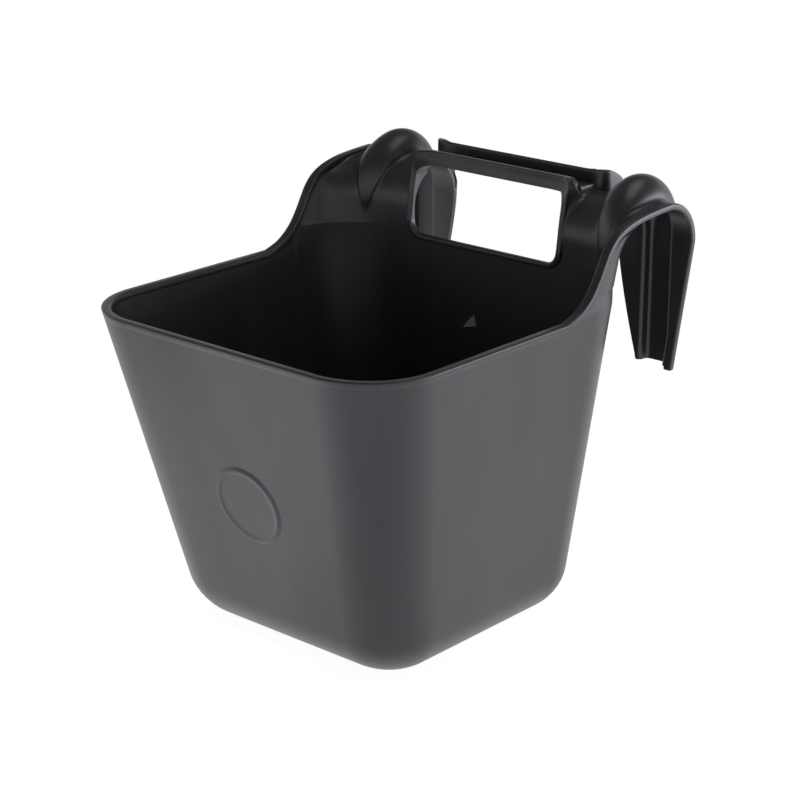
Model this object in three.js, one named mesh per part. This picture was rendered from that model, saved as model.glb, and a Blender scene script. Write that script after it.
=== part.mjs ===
// Feed trough that hooks over a door or a rail, moulded in one black plastic shell.
// Millimetres, +Z up, the front of the trough towards -Y, the hooks towards +Y.
// The moulding is built as its named regions, each a closed sheet with a hairline gap to the next.
import * as THREE from 'three';
import { mergeVertices } from 'three/addons/utils/BufferGeometryUtils.js';

// Tub
const rimHalfWidth = 142.5;
const rimDepth = 276.75;
const rimHeight = 237.3;
const rimCornerRadius = 55.5;
const sideDraft = 38.1;
const baseFrontInset = 59;
const baseBackInset = 11;
const baseCornerRadius = 41;
const bottomFillet = 33;
const wall = 3.5;
const gap = 0.3;

// Rim band along the mouth, which climbs over the hooks
const bandWidth = 6.65;
const bandThickness = 4.8;

// Hooks
const hookGap = 56;
const springRise = 28.2;
const legDrop = 96.5;
const legWidth = 65.5;
const legInnerTaper = 20.4;
const legInnerTaperPower = 1.4;
const legOuterTaper = 14;
const bandTipDrop = 3;
const hookWidth = 70.5;

// Rib over each hook, which runs down the leg as a channel
const ribFromEdge = 30.5;
const ribHalfWidth = 16.5;
const ribHeight = 17.3;
const ribTipRise = 18.7;
const channelHalfWidth = 13.9;
const channelDepth = 8.2;
const channelFlank = 2;

// Sweep of the rim band from the mouth up to the crown of the hooks
const sweepRun = 85.5;
const sweepShares = [
  [0, 0],
  [0.12, 0.08],
  [0.22, 0.22],
  [0.285, 0.375],
  [0.335, 0.53],
  [0.385, 0.68],
  [0.45, 0.8],
  [0.53, 0.88],
  [0.67, 0.95],
  [0.85, 0.985],
  [1, 1],
];

// Rise and width of the rib along the arch, from the wall over the crown to the leg
const ribRiseShares = [0.04, 0.07, 0.13, 0.3, 0.6, 0.87, 1, 0.98, 0.82, 0.61, 0.474];
const ribWidthShares = [0.09, 0.23, 0.47, 0.71, 0.87, 0.96, 1, 0.99, 0.95, 0.9, 0.842];

// Part of the arch over which the sheet's edge moves from under the band to beside it
const besideStartShare = 0.5;
const besideRunShare = 0.125;

// Carrying grip between the hooks
const sillRise = 10;
const jambThickness = 3.8;
const jambProud = 0.3;
const jambRound = 11.5;
const barHeight = 10.9;
const barFromCrown = 17.5;
const barThickness = 3.8;
const sillHeight = 4;
const sillProud = 1.2;
const webReach = 5;
const lipFromCrown = 6;
const lipHeight = 12.7;
const lipThickness = 3.4;
const lipEndInset = 1.5;
const lipBend = 9.6;
const returnRise = 15.5;
const returnTipRise = 1.5;
const returnTipDegrees = 5;
const returnFadeDegrees = 38;

// Blank round boss on the front wall
const bossRadius = 28.5;
const bossDrop = 118.3;
const bossThickness = 0.8;
const bossRingWidth = 2.4;
const bossRingProud = 0.8;

// Smoothness of the curved regions
const filletSteps = 5;
const wallSteps = 2;
const cornerSteps = 7;
const wallRiseSteps = 6;
const archSteps = 8;
const sweepWallSteps = 6;
const ribSteps = 10;
const legSteps = 7;
const sweepSteps = 26;
const bandLegSteps = 4;
const returnSteps = 8;
const arcSteps = 6;
const bossSteps = 36;
const innerArchSteps = 4;
const outerArchSteps = 6;
const slopeTurn = 0.02;

// Least height between the last two rows of a wall
const rowStep = 0.03;

// Derived places
const baseHalfWidth = rimHalfWidth - sideDraft;
const archRadius = hookGap / 2;
const archTopRadius = archRadius + wall;
const bandTopRadius = archRadius + bandThickness;
const springHeight = rimHeight + springRise;
const crownHeight = springHeight + bandTopRadius;
const hookReach = hookGap + wall + channelDepth;
const centreShift = (rimDepth - hookReach) / 2;
const legBottom = springHeight - legDrop;
const cornerCentre = rimHalfWidth - rimCornerRadius;
const bandInner = rimHalfWidth - bandWidth;
const bandSeat = bandThickness + gap;
const hookInnerEdge = rimHalfWidth - hookWidth;
const jambOuter = hookInnerEdge - gap;
const windowHalfWidth = jambOuter - jambThickness;
const windowBottom = rimHeight + sillRise;
const windowTop = springHeight + archTopRadius + gap;
const barTop = windowTop + barHeight;
const barFront = archRadius - barFromCrown;
const lipFront = archRadius + lipFromCrown;
const lipTop = windowTop + lipHeight;
const lipHalfWidth = hookInnerEdge - lipEndInset;
const returnRadius = archTopRadius + returnRise;
const ribOffset = rimHalfWidth - ribFromEdge;
const legInnerEdge = rimHalfWidth - legWidth;
const legInnerStart = legInnerEdge + gap;
const bossHeight = rimHeight - bossDrop;
const quarterTurn = Math.PI / 2;

const plastic = { color: 0x17181a, roughness: 0.42, metalness: 0 };
const model = new THREE.Group();
model.position.set(0, centreShift, 0);

function mix(a, b, share) {
  return a + (b - a) * share;
}

// Shares from zero to one in a number of even steps
function evenShares(steps) {
  return Array.from({ length: steps + 1 }, (_, k) => k / steps);
}

// Names a closed body and adds it to the trough
function addPiece(name, geometry) {
  const piece = new THREE.Mesh(geometry, new THREE.MeshStandardMaterial(plastic));
  piece.name = name;
  model.add(piece);
}

// Closed sheet between two faces that are given as rows of points of the same count
function sheetGeometry(outer, inner) {
  const rows = outer.length;
  const columns = outer[0].length;
  const points = [...outer.flat(), ...inner.flat()];
  const faces = [];
  const outerAt = (i, j) => i * columns + j;
  const innerAt = (i, j) => rows * columns + i * columns + j;
  const quad = (a, b, c, d) => faces.push(a, b, c, a, c, d);
  for (let i = 0; i + 1 < rows; i += 1) {
    for (let j = 0; j + 1 < columns; j += 1) {
      quad(outerAt(i, j), outerAt(i, j + 1), outerAt(i + 1, j + 1), outerAt(i + 1, j));
      quad(innerAt(i, j), innerAt(i + 1, j), innerAt(i + 1, j + 1), innerAt(i, j + 1));
    }
    const last = columns - 1;
    quad(outerAt(i, 0), outerAt(i + 1, 0), innerAt(i + 1, 0), innerAt(i, 0));
    quad(outerAt(i, last), innerAt(i, last), innerAt(i + 1, last), outerAt(i + 1, last));
  }
  for (let j = 0; j + 1 < columns; j += 1) {
    const last = rows - 1;
    quad(outerAt(0, j), innerAt(0, j), innerAt(0, j + 1), outerAt(0, j + 1));
    quad(outerAt(last, j), outerAt(last, j + 1), innerAt(last, j + 1), innerAt(last, j));
  }
  const geometry = new THREE.BufferGeometry();
  const values = points.flatMap((point) => [point.x, point.y, point.z]);
  geometry.setAttribute('position', new THREE.Float32BufferAttribute(values, 3));
  geometry.setIndex(faces);
  return turnedOutwards(geometry);
}

// Turns every face over when the body encloses a negative volume
function turnedOutwards(geometry) {
  const position = geometry.getAttribute('position');
  const order = Array.from(geometry.getIndex().array);
  const corners = [new THREE.Vector3(), new THREE.Vector3(), new THREE.Vector3()];
  let volume = 0;
  for (let k = 0; k < order.length; k += 3) {
    corners.forEach((corner, n) => corner.fromBufferAttribute(position, order[k + n]));
    volume += corners[0].dot(corners[1].cross(corners[2]));
  }
  if (volume < 0) {
    order.reverse();
    geometry.setIndex(order);
  }
  return geometry;
}

// Mirror image of a geometry across the middle plane of the trough
function mirrored(geometry) {
  const copy = geometry.clone();
  copy.scale(-1, 1, 1);
  const order = Array.from(copy.getIndex().array).reverse();
  copy.setIndex(order);
  return copy;
}

function addPair(name, geometry) {
  addPiece(`right_${name}`, geometry);
  addPiece(`left_${name}`, mirrored(geometry));
}

// Outline of the tub at a height, drawn in by an inset
function tubOutline(height, inset) {
  const share = Math.min(height / rimHeight, 1);
  return {
    side: mix(baseHalfWidth, rimHalfWidth, share) - inset,
    front: mix(baseFrontInset, 0, share) - rimDepth + inset,
    back: -mix(baseBackInset, 0, share) - inset,
    radius: mix(baseCornerRadius, rimCornerRadius, share) - inset,
  };
}

// Height and inset pairs of the wall from the floor up to its top, on one face of the wall
function wallProfile(top, thickness) {
  const radius = bottomFillet - thickness;
  const profile = [];
  for (let k = 0; k <= filletSteps; k += 1) {
    const turn = (quarterTurn * k) / filletSteps;
    profile.push({
      height: bottomFillet - radius * Math.cos(turn),
      inset: bottomFillet - radius * Math.sin(turn),
    });
  }
  const straightTop = Math.min(top, rimHeight);
  for (let k = 1; k <= wallSteps; k += 1) {
    profile.push({ height: mix(bottomFillet, straightTop, k / wallSteps), inset: thickness });
  }
  return profile;
}

function tubFace(top, thickness, placeRow) {
  return wallProfile(top, thickness).map(({ height, inset }) => placeRow(height, inset));
}

// Straight stretch of the outline at the front or the back, between its corners
function straightRow(height, inset, end) {
  const outline = tubOutline(height, inset);
  const reach = outline.side - outline.radius - gap;
  return [-reach, reach].map((x) => new THREE.Vector3(x, outline[end], height));
}

function frontRow(height, inset) {
  return straightRow(height, inset, 'front');
}

function backRow(height, inset) {
  return straightRow(height, inset, 'back');
}

function cornerRow(height, inset, startDegrees, end) {
  const { side, front, back, radius } = tubOutline(height, inset);
  const centreY = end === 'front' ? front + radius : back - radius;
  const row = [];
  for (let k = 0; k <= cornerSteps; k += 1) {
    const turn = THREE.MathUtils.degToRad(startDegrees) + (quarterTurn * k) / cornerSteps;
    const x = side - radius + radius * Math.cos(turn);
    row.push(new THREE.Vector3(x, centreY + radius * Math.sin(turn), height));
  }
  return row;
}

// Curve of the outer top edge of the rim band: the sweep up to the crown, then round the arch
function bandCurve() {
  const run = sweepRun + archRadius;
  const rise = crownHeight - rimHeight;
  const knots = sweepShares.map(
    ([along, up]) => new THREE.Vector3(0, along * run - sweepRun, up * rise + rimHeight),
  );
  const points = new THREE.CatmullRomCurve3(knots, false, 'centripetal').getPoints(sweepSteps);
  for (let k = 1; k <= archSteps; k += 1) {
    const turn = quarterTurn - (quarterTurn * k) / archSteps;
    const y = archRadius + bandTopRadius * Math.cos(turn);
    points.push(new THREE.Vector3(0, y, springHeight + bandTopRadius * Math.sin(turn)));
  }
  return points;
}

// The band curve moved square to itself, towards the sheet below it
function loweredCurve(depth) {
  const points = bandCurve();
  return points.map((point, k) => {
    const before = points[Math.max(k - 1, 0)];
    const after = points[Math.min(k + 1, points.length - 1)];
    const along = after.clone().sub(before);
    if (k === 0) {
      along.z = 0;
    }
    if (k === points.length - 1) {
      along.y = 0;
    }
    along.normalize();
    return new THREE.Vector3(0, point.y + along.z * depth, point.z - along.y * depth);
  });
}

const seatCurve = loweredCurve(bandSeat).slice(0, sweepSteps + 1);

// Height of the sheet's edge under the rim band at a place along the sweep
function seatHeight(y) {
  const k = Math.max(seatCurve.findIndex((point) => point.y > y), 1);
  const low = seatCurve[k - 1];
  const high = seatCurve[k];
  return mix(low.z, high.z, (y - low.y) / (high.y - low.y));
}

// Place along the sweep where the sheet's edge under the rim band has a height
function seatPlace(z) {
  const found = seatCurve.findIndex((point) => point.z > z);
  const k = found < 1 ? seatCurve.length - 1 : found;
  const low = seatCurve[k - 1];
  const high = seatCurve[k];
  return Math.min(mix(low.y, high.y, (z - low.z) / (high.z - low.z)), archRadius);
}

// Share of the corner's bend that a distance from the middle plane has gone through
function cornerShare(x) {
  const along = Math.min(Math.max((x - cornerCentre) / rimCornerRadius, 0), 1);
  return 1 - Math.sqrt(1 - along * along);
}

// Steps of a hook section: up the wall, over the front of the arch, and down its back
const hookRows = wallRiseSteps + 2 * archSteps;

function hookUnderside(x, step) {
  const bend = cornerShare(x);
  if (step <= wallRiseSteps) {
    const z = mix(rimHeight + gap, springHeight, step / wallRiseSteps);
    const place = Math.max(seatPlace(z), -rimCornerRadius);
    return new THREE.Vector3(x, mix(0, place, bend), z);
  }
  const turn = (quarterTurn * (step - wallRiseSteps)) / archSteps;
  const seatCrown = seatCurve[sweepSteps].z - springHeight;
  const rise = mix(archRadius, seatCrown, bend) * Math.sin(turn);
  const round = archRadius - archRadius * Math.cos(turn);
  if (turn >= quarterTurn) {
    return new THREE.Vector3(x, round, springHeight + rise);
  }
  const swept = seatPlace(springHeight + seatCrown * Math.sin(turn));
  return new THREE.Vector3(x, mix(round, swept, bend), springHeight + rise);
}

// Places on both sides of a distance from the middle plane, for the slope of the sheet there
function besidePlaces(x) {
  if (x <= cornerCentre) {
    return [x - wall / 2, x + wall / 2];
  }
  const turn = Math.asin(Math.min((x - cornerCentre) / rimCornerRadius, 1));
  const high = Math.min(turn + slopeTurn, quarterTurn);
  return [turn - slopeTurn, high].map((bend) => cornerCentre + rimCornerRadius * Math.sin(bend));
}

// Direction square to a hook's sheet, towards its upper face
function hookNormal(x, step) {
  const [low, high] = besidePlaces(x);
  const across = hookUnderside(high, step).sub(hookUnderside(low, step));
  const below = hookUnderside(x, Math.max(step - 1, 0));
  const along = hookUnderside(x, Math.min(step + 1, hookRows)).sub(below);
  if (step === hookRows) {
    along.set(0, 0, -1);
  }
  return across.cross(along).normalize();
}

function hookPoint(x, step, height) {
  return hookUnderside(x, step).addScaledVector(hookNormal(x, step), height);
}

// Value of a table of shares at a share of its length
function tableShare(shares, along) {
  const place = Math.min(Math.max(along, 0), 1) * (shares.length - 1);
  const k = Math.min(Math.floor(place), shares.length - 2);
  return mix(shares[k], shares[k + 1], place - k);
}

const ribStart = Math.round((wallRiseSteps * ribTipRise) / springRise);

function ribShape(step) {
  const along = (step - ribStart) / (hookRows - ribStart);
  if (along < 0) {
    return { halfWidth: 0, height: 0 };
  }
  return {
    halfWidth: tableShare(ribWidthShares, along) * ribHalfWidth,
    height: tableShare(ribRiseShares, along) * ribHeight,
  };
}

function hookFace(height, columnsOf) {
  const face = [];
  for (let step = 0; step <= hookRows; step += 1) {
    face.push(columnsOf(step).map((x) => hookPoint(x, step, height)));
  }
  return face;
}

function innerArchColumns(step) {
  const { halfWidth } = ribShape(step);
  const start = step > wallRiseSteps + archSteps ? legInnerStart : hookInnerEdge;
  const end = ribOffset - halfWidth - gap;
  return evenShares(innerArchSteps).map((share) => mix(start, end, share));
}

// The outer arch ends under the band on the sweep and beside the band on the crown
function outerArchColumns(step) {
  const { halfWidth } = ribShape(step);
  const start = ribOffset + halfWidth + gap;
  const beside = bandInner - gap;
  const archShare = (step - wallRiseSteps) / archSteps;
  const along = Math.min(Math.max((archShare - besideStartShare) / besideRunShare, 0), 1);
  const end = mix(rimHalfWidth, beside, along);
  const startTurn = Math.asin((start - cornerCentre) / rimCornerRadius);
  const endTurn = Math.asin((end - cornerCentre) / rimCornerRadius);
  return evenShares(outerArchSteps).map((share) => {
    const turn = mix(startTurn, endTurn, share);
    return cornerCentre + rimCornerRadius * Math.sin(turn);
  });
}

// Rib over the hook: a half tube whose feet stand in the slot between the two arches
function ribFace(under) {
  const face = [];
  for (let step = ribStart; step <= hookRows; step += 1) {
    const { halfWidth, height } = ribShape(step);
    const side = under ? Math.max(halfWidth - wall, halfWidth / 2) : halfWidth;
    const base = under ? 0 : wall;
    const row = [];
    for (let k = 0; k <= ribSteps; k += 1) {
      const turn = (Math.PI * k) / ribSteps;
      const x = ribOffset - side * Math.cos(turn);
      row.push(hookPoint(x, step, base + height * Math.sin(turn)));
    }
    face.push(row);
  }
  return face;
}

// Leg: a flat sheet with the rib's channel down its middle, narrowing towards its foot
function legFace(back) {
  const face = [];
  const narrowing = back ? 0 : wall - channelFlank / 2;
  const foot = channelHalfWidth - narrowing;
  const crest = foot - channelFlank;
  const plane = back ? hookGap + wall : hookGap;
  for (let k = 0; k <= legSteps; k += 1) {
    const share = k / legSteps;
    const z = mix(springHeight - gap, legBottom, share);
    const inner = legInnerStart + legInnerTaper * share ** legInnerTaperPower;
    const outer = bandInner - gap - legOuterTaper * share;
    const bulge = plane + channelDepth;
    const outline = [
      [Math.min(inner, ribOffset - foot - gap), plane],
      [ribOffset - foot, plane],
      [ribOffset - crest, bulge],
      [ribOffset + crest, bulge],
      [Math.min(ribOffset + foot, outer - gap), plane],
      [outer, plane],
    ];
    face.push(outline.map(([x, y]) => new THREE.Vector3(x, y, z)));
  }
  return face;
}

// Rim band over the sweep, the arch and down the outer edge of the leg
function bandFace(depth) {
  const face = loweredCurve(depth).map(({ y, z }) => [
    new THREE.Vector3(bandInner, y, z),
    new THREE.Vector3(rimHalfWidth, y, z),
  ]);
  const y = hookGap + bandThickness - depth;
  for (let k = 1; k <= bandLegSteps; k += 1) {
    const share = k / bandLegSteps;
    const z = mix(springHeight, legBottom - bandTipDrop, share);
    const shift = legOuterTaper * share;
    face.push([
      new THREE.Vector3(bandInner - shift, y, z),
      new THREE.Vector3(rimHalfWidth - shift, y, z),
    ]);
  }
  return face;
}

// Side wall, whose back end rises under the sweep of the rim band
function sideFace(thickness) {
  const sideLength = rimDepth - 2 * rimCornerRadius - gap;
  const face = [];
  const stations = [0];
  for (let k = 0; k <= sweepWallSteps; k += 1) {
    stations.push(mix(-sweepRun, -rimCornerRadius - gap, k / sweepWallSteps));
  }
  stations.forEach((station, n) => {
    const top = n < 2 ? rimHeight - bandSeat : seatHeight(station);
    const column = wallProfile(Math.min(top, rimHeight), thickness);
    column.push({ height: top + rowStep, inset: thickness });
    face.push(column.map(({ height, inset }) => {
      const { side, front, back, radius } = tubOutline(height, inset);
      const start = front + radius + gap;
      const end = back - radius - gap;
      const share = n === 0 ? 0 : (station + rimDepth - rimCornerRadius) / sideLength;
      return new THREE.Vector3(side, mix(start, end, share), height);
    }));
  });
  return face;
}

function addTub() {
  const { side, front, back, radius } = tubOutline(0, bottomFillet + gap);
  const outline = new THREE.Shape();
  outline.absarc(side - radius, front + radius, radius, -quarterTurn, 0);
  outline.absarc(side - radius, back - radius, radius, 0, quarterTurn);
  outline.absarc(radius - side, back - radius, radius, quarterTurn, 2 * quarterTurn);
  outline.absarc(radius - side, front + radius, radius, 2 * quarterTurn, 3 * quarterTurn);
  const floor = { depth: wall, bevelEnabled: false, curveSegments: cornerSteps };
  addPiece('floor_pan', new THREE.ExtrudeGeometry(outline, floor));

  const top = rimHeight - bandSeat;
  addPiece('front_wall', sheetGeometry(tubFace(top, 0, frontRow), tubFace(top, wall, frontRow)));
  addPiece('back_wall', sheetGeometry(
    tubFace(rimHeight, 0, backRow),
    tubFace(rimHeight, wall, backRow),
  ));
  addPair('side_wall', sheetGeometry(sideFace(0), sideFace(wall)));

  const frontCorner = (height, inset) => cornerRow(height, inset, -90, 'front');
  const backCorner = (height, inset) => cornerRow(height, inset, 0, 'back');
  addPair('front_corner', sheetGeometry(
    tubFace(top, 0, frontCorner),
    tubFace(top, wall, frontCorner),
  ));
  addPair('back_corner', sheetGeometry(
    tubFace(rimHeight, 0, backCorner),
    tubFace(rimHeight, wall, backCorner),
  ));
}

// Rim band round the mouth, up to where the sweep starts
function addRim() {
  const heights = [rimHeight - bandThickness, rimHeight];
  const bandSheet = (placeRow) => sheetGeometry(
    heights.map((height) => placeRow(height, 0)),
    heights.map((height) => placeRow(height, bandWidth)),
  );
  const sideRow = (height, inset) => {
    const { side, front, radius } = tubOutline(height, inset);
    return [front + radius + gap, -sweepRun - gap].map((y) => new THREE.Vector3(side, y, height));
  };
  addPiece('front_rim', bandSheet(frontRow));
  addPair('rim_corner', bandSheet((height, inset) => cornerRow(height, inset, -90, 'front')));
  addPair('side_rim', bandSheet(sideRow));
}

function addHooks() {
  addPair('inner_arch', sheetGeometry(hookFace(wall, innerArchColumns), hookFace(0, innerArchColumns)));
  addPair('outer_arch', sheetGeometry(hookFace(wall, outerArchColumns), hookFace(0, outerArchColumns)));
  addPair('rib', sheetGeometry(ribFace(false), ribFace(true)));
  addPair('leg', sheetGeometry(legFace(true), legFace(false)));
  addPair('edge_band', sheetGeometry(bandFace(0), bandFace(bandThickness)));
}

// Extrudes an outline that is drawn in the Y-Z plane along X
function sideExtrusion(points, from, to) {
  const outline = new THREE.Shape(points.map(([y, z]) => new THREE.Vector2(y, z)));
  const extruded = new THREE.ExtrudeGeometry(outline, { depth: to - from, bevelEnabled: false });
  extruded.deleteAttribute('normal');
  extruded.deleteAttribute('uv');
  const geometry = mergeVertices(extruded);
  const turned = new THREE.Matrix4().makeBasis(
    new THREE.Vector3(0, 1, 0),
    new THREE.Vector3(0, 0, 1),
    new THREE.Vector3(1, 0, 0),
  );
  return geometry.applyMatrix4(turned).translate(from, 0, 0);
}

// Points of an arc in the Y-Z plane, round or drawn out in height
function arcPoints(centreY, centreZ, runRadius, riseRadius, startTurn, endTurn) {
  const points = [];
  for (let k = 0; k <= arcSteps; k += 1) {
    const turn = mix(startTurn, endTurn, k / arcSteps);
    points.push([centreY + runRadius * Math.cos(turn), centreZ + riseRadius * Math.sin(turn)]);
  }
  return points;
}

function addGrip() {
  const sillBottom = rimHeight + gap;
  const sillTop = windowBottom - gap;
  const face = -wall;
  addPiece('window_sill', sideExtrusion([
    [0, sillBottom],
    [0, sillTop],
    [face - sillProud, sillTop],
    [face - sillProud, sillTop - sillHeight + sillProud],
    [face, sillTop - sillHeight],
    [face, sillBottom],
  ], -jambOuter, jambOuter));

  const jambFront = face + jambProud;
  const jambBack = barFront + barThickness;
  const roundRun = barFront - jambFront;
  const meetTurn = Math.acos((jambBack - archRadius) / archRadius);
  addPair('window_jamb', sideExtrusion([
    ...arcPoints(archRadius, springHeight, archRadius, archRadius, 2 * quarterTurn, meetTurn),
    [jambBack, barTop],
    ...arcPoints(barFront, barTop - jambRound, roundRun, jambRound, quarterTurn, 2 * quarterTurn),
    [jambFront, windowBottom],
    [0, windowBottom],
  ], windowHalfWidth, jambOuter));

  const barEnd = windowHalfWidth - gap;
  addPiece('grip_bar', sideExtrusion([
    [barFront, windowTop],
    [jambBack, windowTop],
    [jambBack, barTop],
    [barFront, barTop],
  ], -barEnd, barEnd));
  const webEnd = hookInnerEdge + webReach;
  addPiece('grip_web', sideExtrusion([
    [jambBack + gap, windowTop],
    [lipFront - gap, windowTop],
    [lipFront - gap, windowTop + wall],
    [jambBack + gap, windowTop + wall],
  ], -webEnd, webEnd));
  addPiece('rear_lip', sideExtrusion([
    [lipFront, windowTop],
    [lipFront + lipThickness, windowTop],
    [lipFront + lipThickness, lipTop],
    [lipFront, lipTop],
  ], -lipHalfWidth, lipHalfWidth));
  addPair('lip_return', sheetGeometry(returnFace(lipBend), returnFace(lipBend - lipThickness)));
}

// Return of the rear lip: it bends back from the lip's end and runs down the back of the arch
function returnFace(bend) {
  const seatRadius = archTopRadius + gap;
  const startPlace = lipFront + gap;
  const seatStart = Math.acos((startPlace - archRadius) / seatRadius);
  const crestStart = Math.acos((startPlace - archRadius) / returnRadius);
  const tip = THREE.MathUtils.degToRad(returnTipDegrees);
  const fade = THREE.MathUtils.degToRad(returnFadeDegrees);
  const bendCentre = lipFront + lipBend;
  const placeAt = (turn, radius) => {
    const y = archRadius + radius * Math.cos(turn);
    const into = Math.max(bendCentre - y, 0);
    const out = Math.sqrt(Math.max(bend * bend - into * into, 0));
    return new THREE.Vector3(lipHalfWidth + gap + out, y, springHeight + radius * Math.sin(turn));
  };
  const face = [];
  for (let k = 0; k <= returnSteps; k += 1) {
    const share = k / returnSteps;
    const crestTurn = mix(crestStart, tip, share);
    const faded = Math.min((crestTurn - tip) / (fade - tip), 1);
    const crestRadius = mix(seatRadius + returnTipRise, returnRadius, faded);
    face.push([
      placeAt(mix(seatStart, tip, share), seatRadius),
      placeAt(crestTurn, crestRadius),
    ]);
  }
  return face;
}

function addBoss() {
  const profile = [
    [0, 0],
    [bossRadius, 0],
    [bossRadius, bossThickness + bossRingProud],
    [bossRadius - bossRingWidth, bossThickness + bossRingProud],
    [bossRadius - bossRingWidth, bossThickness],
    [0, bossThickness],
  ].map(([x, y]) => new THREE.Vector2(x, y));
  const boss = new THREE.LatheGeometry(profile, bossSteps);
  const lean = Math.atan(baseFrontInset / rimHeight);
  boss.rotateX(2 * quarterTurn + lean);
  const front = tubOutline(bossHeight, 0).front;
  const offset = gap / Math.cos(lean);
  boss.translate(0, front - offset, bossHeight);
  addPiece('front_boss', boss);
}

addTub();
addRim();
addHooks();
addGrip();
addBoss();

export default model;
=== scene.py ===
"""Looks of a feed trough that hooks over a door, moulded in one black plastic shell.

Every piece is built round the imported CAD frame, in metres. The sheet's surfaces are worked out
from the back rim line, where y is zero, and moved to the frame's place when a mesh is finished.
"""
import math

import bmesh
import bpy
import numpy as np
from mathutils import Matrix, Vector


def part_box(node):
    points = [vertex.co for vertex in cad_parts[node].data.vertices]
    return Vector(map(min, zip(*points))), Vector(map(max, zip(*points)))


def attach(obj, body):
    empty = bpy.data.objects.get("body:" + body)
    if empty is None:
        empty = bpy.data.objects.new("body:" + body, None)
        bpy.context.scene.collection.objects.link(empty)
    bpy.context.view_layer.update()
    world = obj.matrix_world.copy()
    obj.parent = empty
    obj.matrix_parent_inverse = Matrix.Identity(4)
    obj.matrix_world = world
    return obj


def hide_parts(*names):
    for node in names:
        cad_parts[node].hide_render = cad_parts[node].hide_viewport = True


bl_info = {
    "name": "Feed Trough",
    "version": (1, 0, 0),
    "blender": (4, 5, 0),
    "location": "View3D > Sidebar > Feed Trough",
    "description": "Builds the moulded shell, rim, grip and stage of a hooked feed trough",
    "category": "Object",
}

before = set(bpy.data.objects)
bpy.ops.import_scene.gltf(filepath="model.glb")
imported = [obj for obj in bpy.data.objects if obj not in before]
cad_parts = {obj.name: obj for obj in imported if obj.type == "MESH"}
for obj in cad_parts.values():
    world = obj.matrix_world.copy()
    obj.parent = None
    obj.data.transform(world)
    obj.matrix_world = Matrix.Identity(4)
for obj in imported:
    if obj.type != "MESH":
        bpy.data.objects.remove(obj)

HALF_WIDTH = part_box("right_edge_band")[1].x
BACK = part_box("back_wall")[1].y
RIM_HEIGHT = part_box("front_rim")[1].z
RIM_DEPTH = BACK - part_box("front_rim")[0].y
DOOR_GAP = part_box("right_leg")[0].y - BACK
LEG_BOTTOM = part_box("right_leg")[0].z
HOOK_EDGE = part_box("right_inner_arch")[0].x
QUARTER = math.pi / 2

# Rise of the rim band from the mouth to the crown of the hooks, as shares of its run and rise
SWEEP = (
    (0, 0), (0.12, 0.08), (0.22, 0.22), (0.285, 0.375), (0.335, 0.53), (0.385, 0.68),
    (0.45, 0.8), (0.53, 0.88), (0.67, 0.95), (0.85, 0.985), (1, 1),
)
RIB_RISE = (0.0, 0.06, 0.13, 0.3, 0.6, 0.87, 1, 0.98, 0.82, 0.61, 0.474)
RIB_WIDTH = (0.07, 0.23, 0.47, 0.71, 0.87, 0.96, 1, 0.99, 0.95, 0.9, 0.842)

# Steps of a hook: the wall's rise, the front and the back of the arch, and the leg
RISE, ARCH, LEG = 6, 8, 8
CROWN, SPRING, FOOT = RISE + ARCH, RISE + 2 * ARCH, RISE + 2 * ARCH + LEG
RIB_START = 4

# Distances of welding, a small step by which pieces are sunk into or held off each other, the
# bend at which an edge is sharp, and plain white
WELD, MIDDLE_WELD = 0.000001, 0.00001
MARGIN = 0.0004
SHARP = math.radians(38)
WHITE = (1, 1, 1, 1)

# Place of the grip frame's front face by height, from the sill to the top of the bar
FRAME_FRONT = (
    (0.240, -0.0052), (0.247, -0.0058), (0.255, -0.0058), (0.266, -0.0044), (0.279, -0.0026),
    (0.291, -0.0004), (0.300, 0.0026), (0.305, 0.0058), (0.3074, 0.0086), (0.3082, 0.0105),
)


def length(name, default, description):
    return bpy.props.FloatProperty(
        name=name, default=default, description=description, min=0, unit="LENGTH", precision=4)


def colour(name, default, description):
    return bpy.props.FloatVectorProperty(
        name=name, size=3, subtype="COLOR", default=default, description=description,
        min=0, max=1)


class TroughTub(bpy.types.PropertyGroup):
    """Sizes of the tub"""

    wall: length("Wall", 0.0035, "Thickness of the moulded sheet")
    rim_corner: length("Rim corner", 0.0555, "Radius of the tub's corners at the rim")
    base_corner: length("Base corner", 0.041, "Radius of the tub's corners at the base")
    side_draft: length("Side draft", 0.0381, "Lean of each side from rim to base")
    front_draft: length("Front draft", 0.059, "Lean of the front from rim to base")
    back_draft: length("Back draft", 0.011, "Lean of the back from rim to base")
    base_round: length("Base round", 0.033, "Radius between walls and floor")


class TroughRim(bpy.types.PropertyGroup):
    """Sizes of the rim band"""

    width: length("Width", 0.00665, "Width of the band's top")
    thickness: length("Thickness", 0.0048, "Depth of the band")
    edge_round: length("Edge round", 0.0013, "Radius of the band's upper edges")
    run: length("Sweep run", 0.0855, "Run of the sweep in front of the back wall")
    tip_drop: length("Tip drop", 0.003, "Reach of the band below the leg")


class TroughHook(bpy.types.PropertyGroup):
    """Sizes of the hooks and their ribs"""

    spring_rise: length("Spring rise", 0.0282, "Height of the arch's spring over the rim")
    rib_offset: length("Rib offset", 0.112, "Distance of the rib from the middle plane")
    rib_half: length("Rib half width", 0.0165, "Half width of the rib at its fullest")
    rib_height: length("Rib height", 0.0173, "Height of the rib over the sheet")
    rib_fillet: length("Rib fillet", 0.0035, "Radius at the foot of the rib")
    valley: length("Valley", 0.0012, "Dip of the sheet between rib and band")
    leg_edge: length("Leg edge", 0.0773, "Inner edge of the leg at its top")
    inner_taper: length("Inner taper", 0.0204, "Draw-in of the leg's inner edge")
    outer_taper: length("Outer taper", 0.014, "Draw-in of the leg's outer edge")


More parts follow.
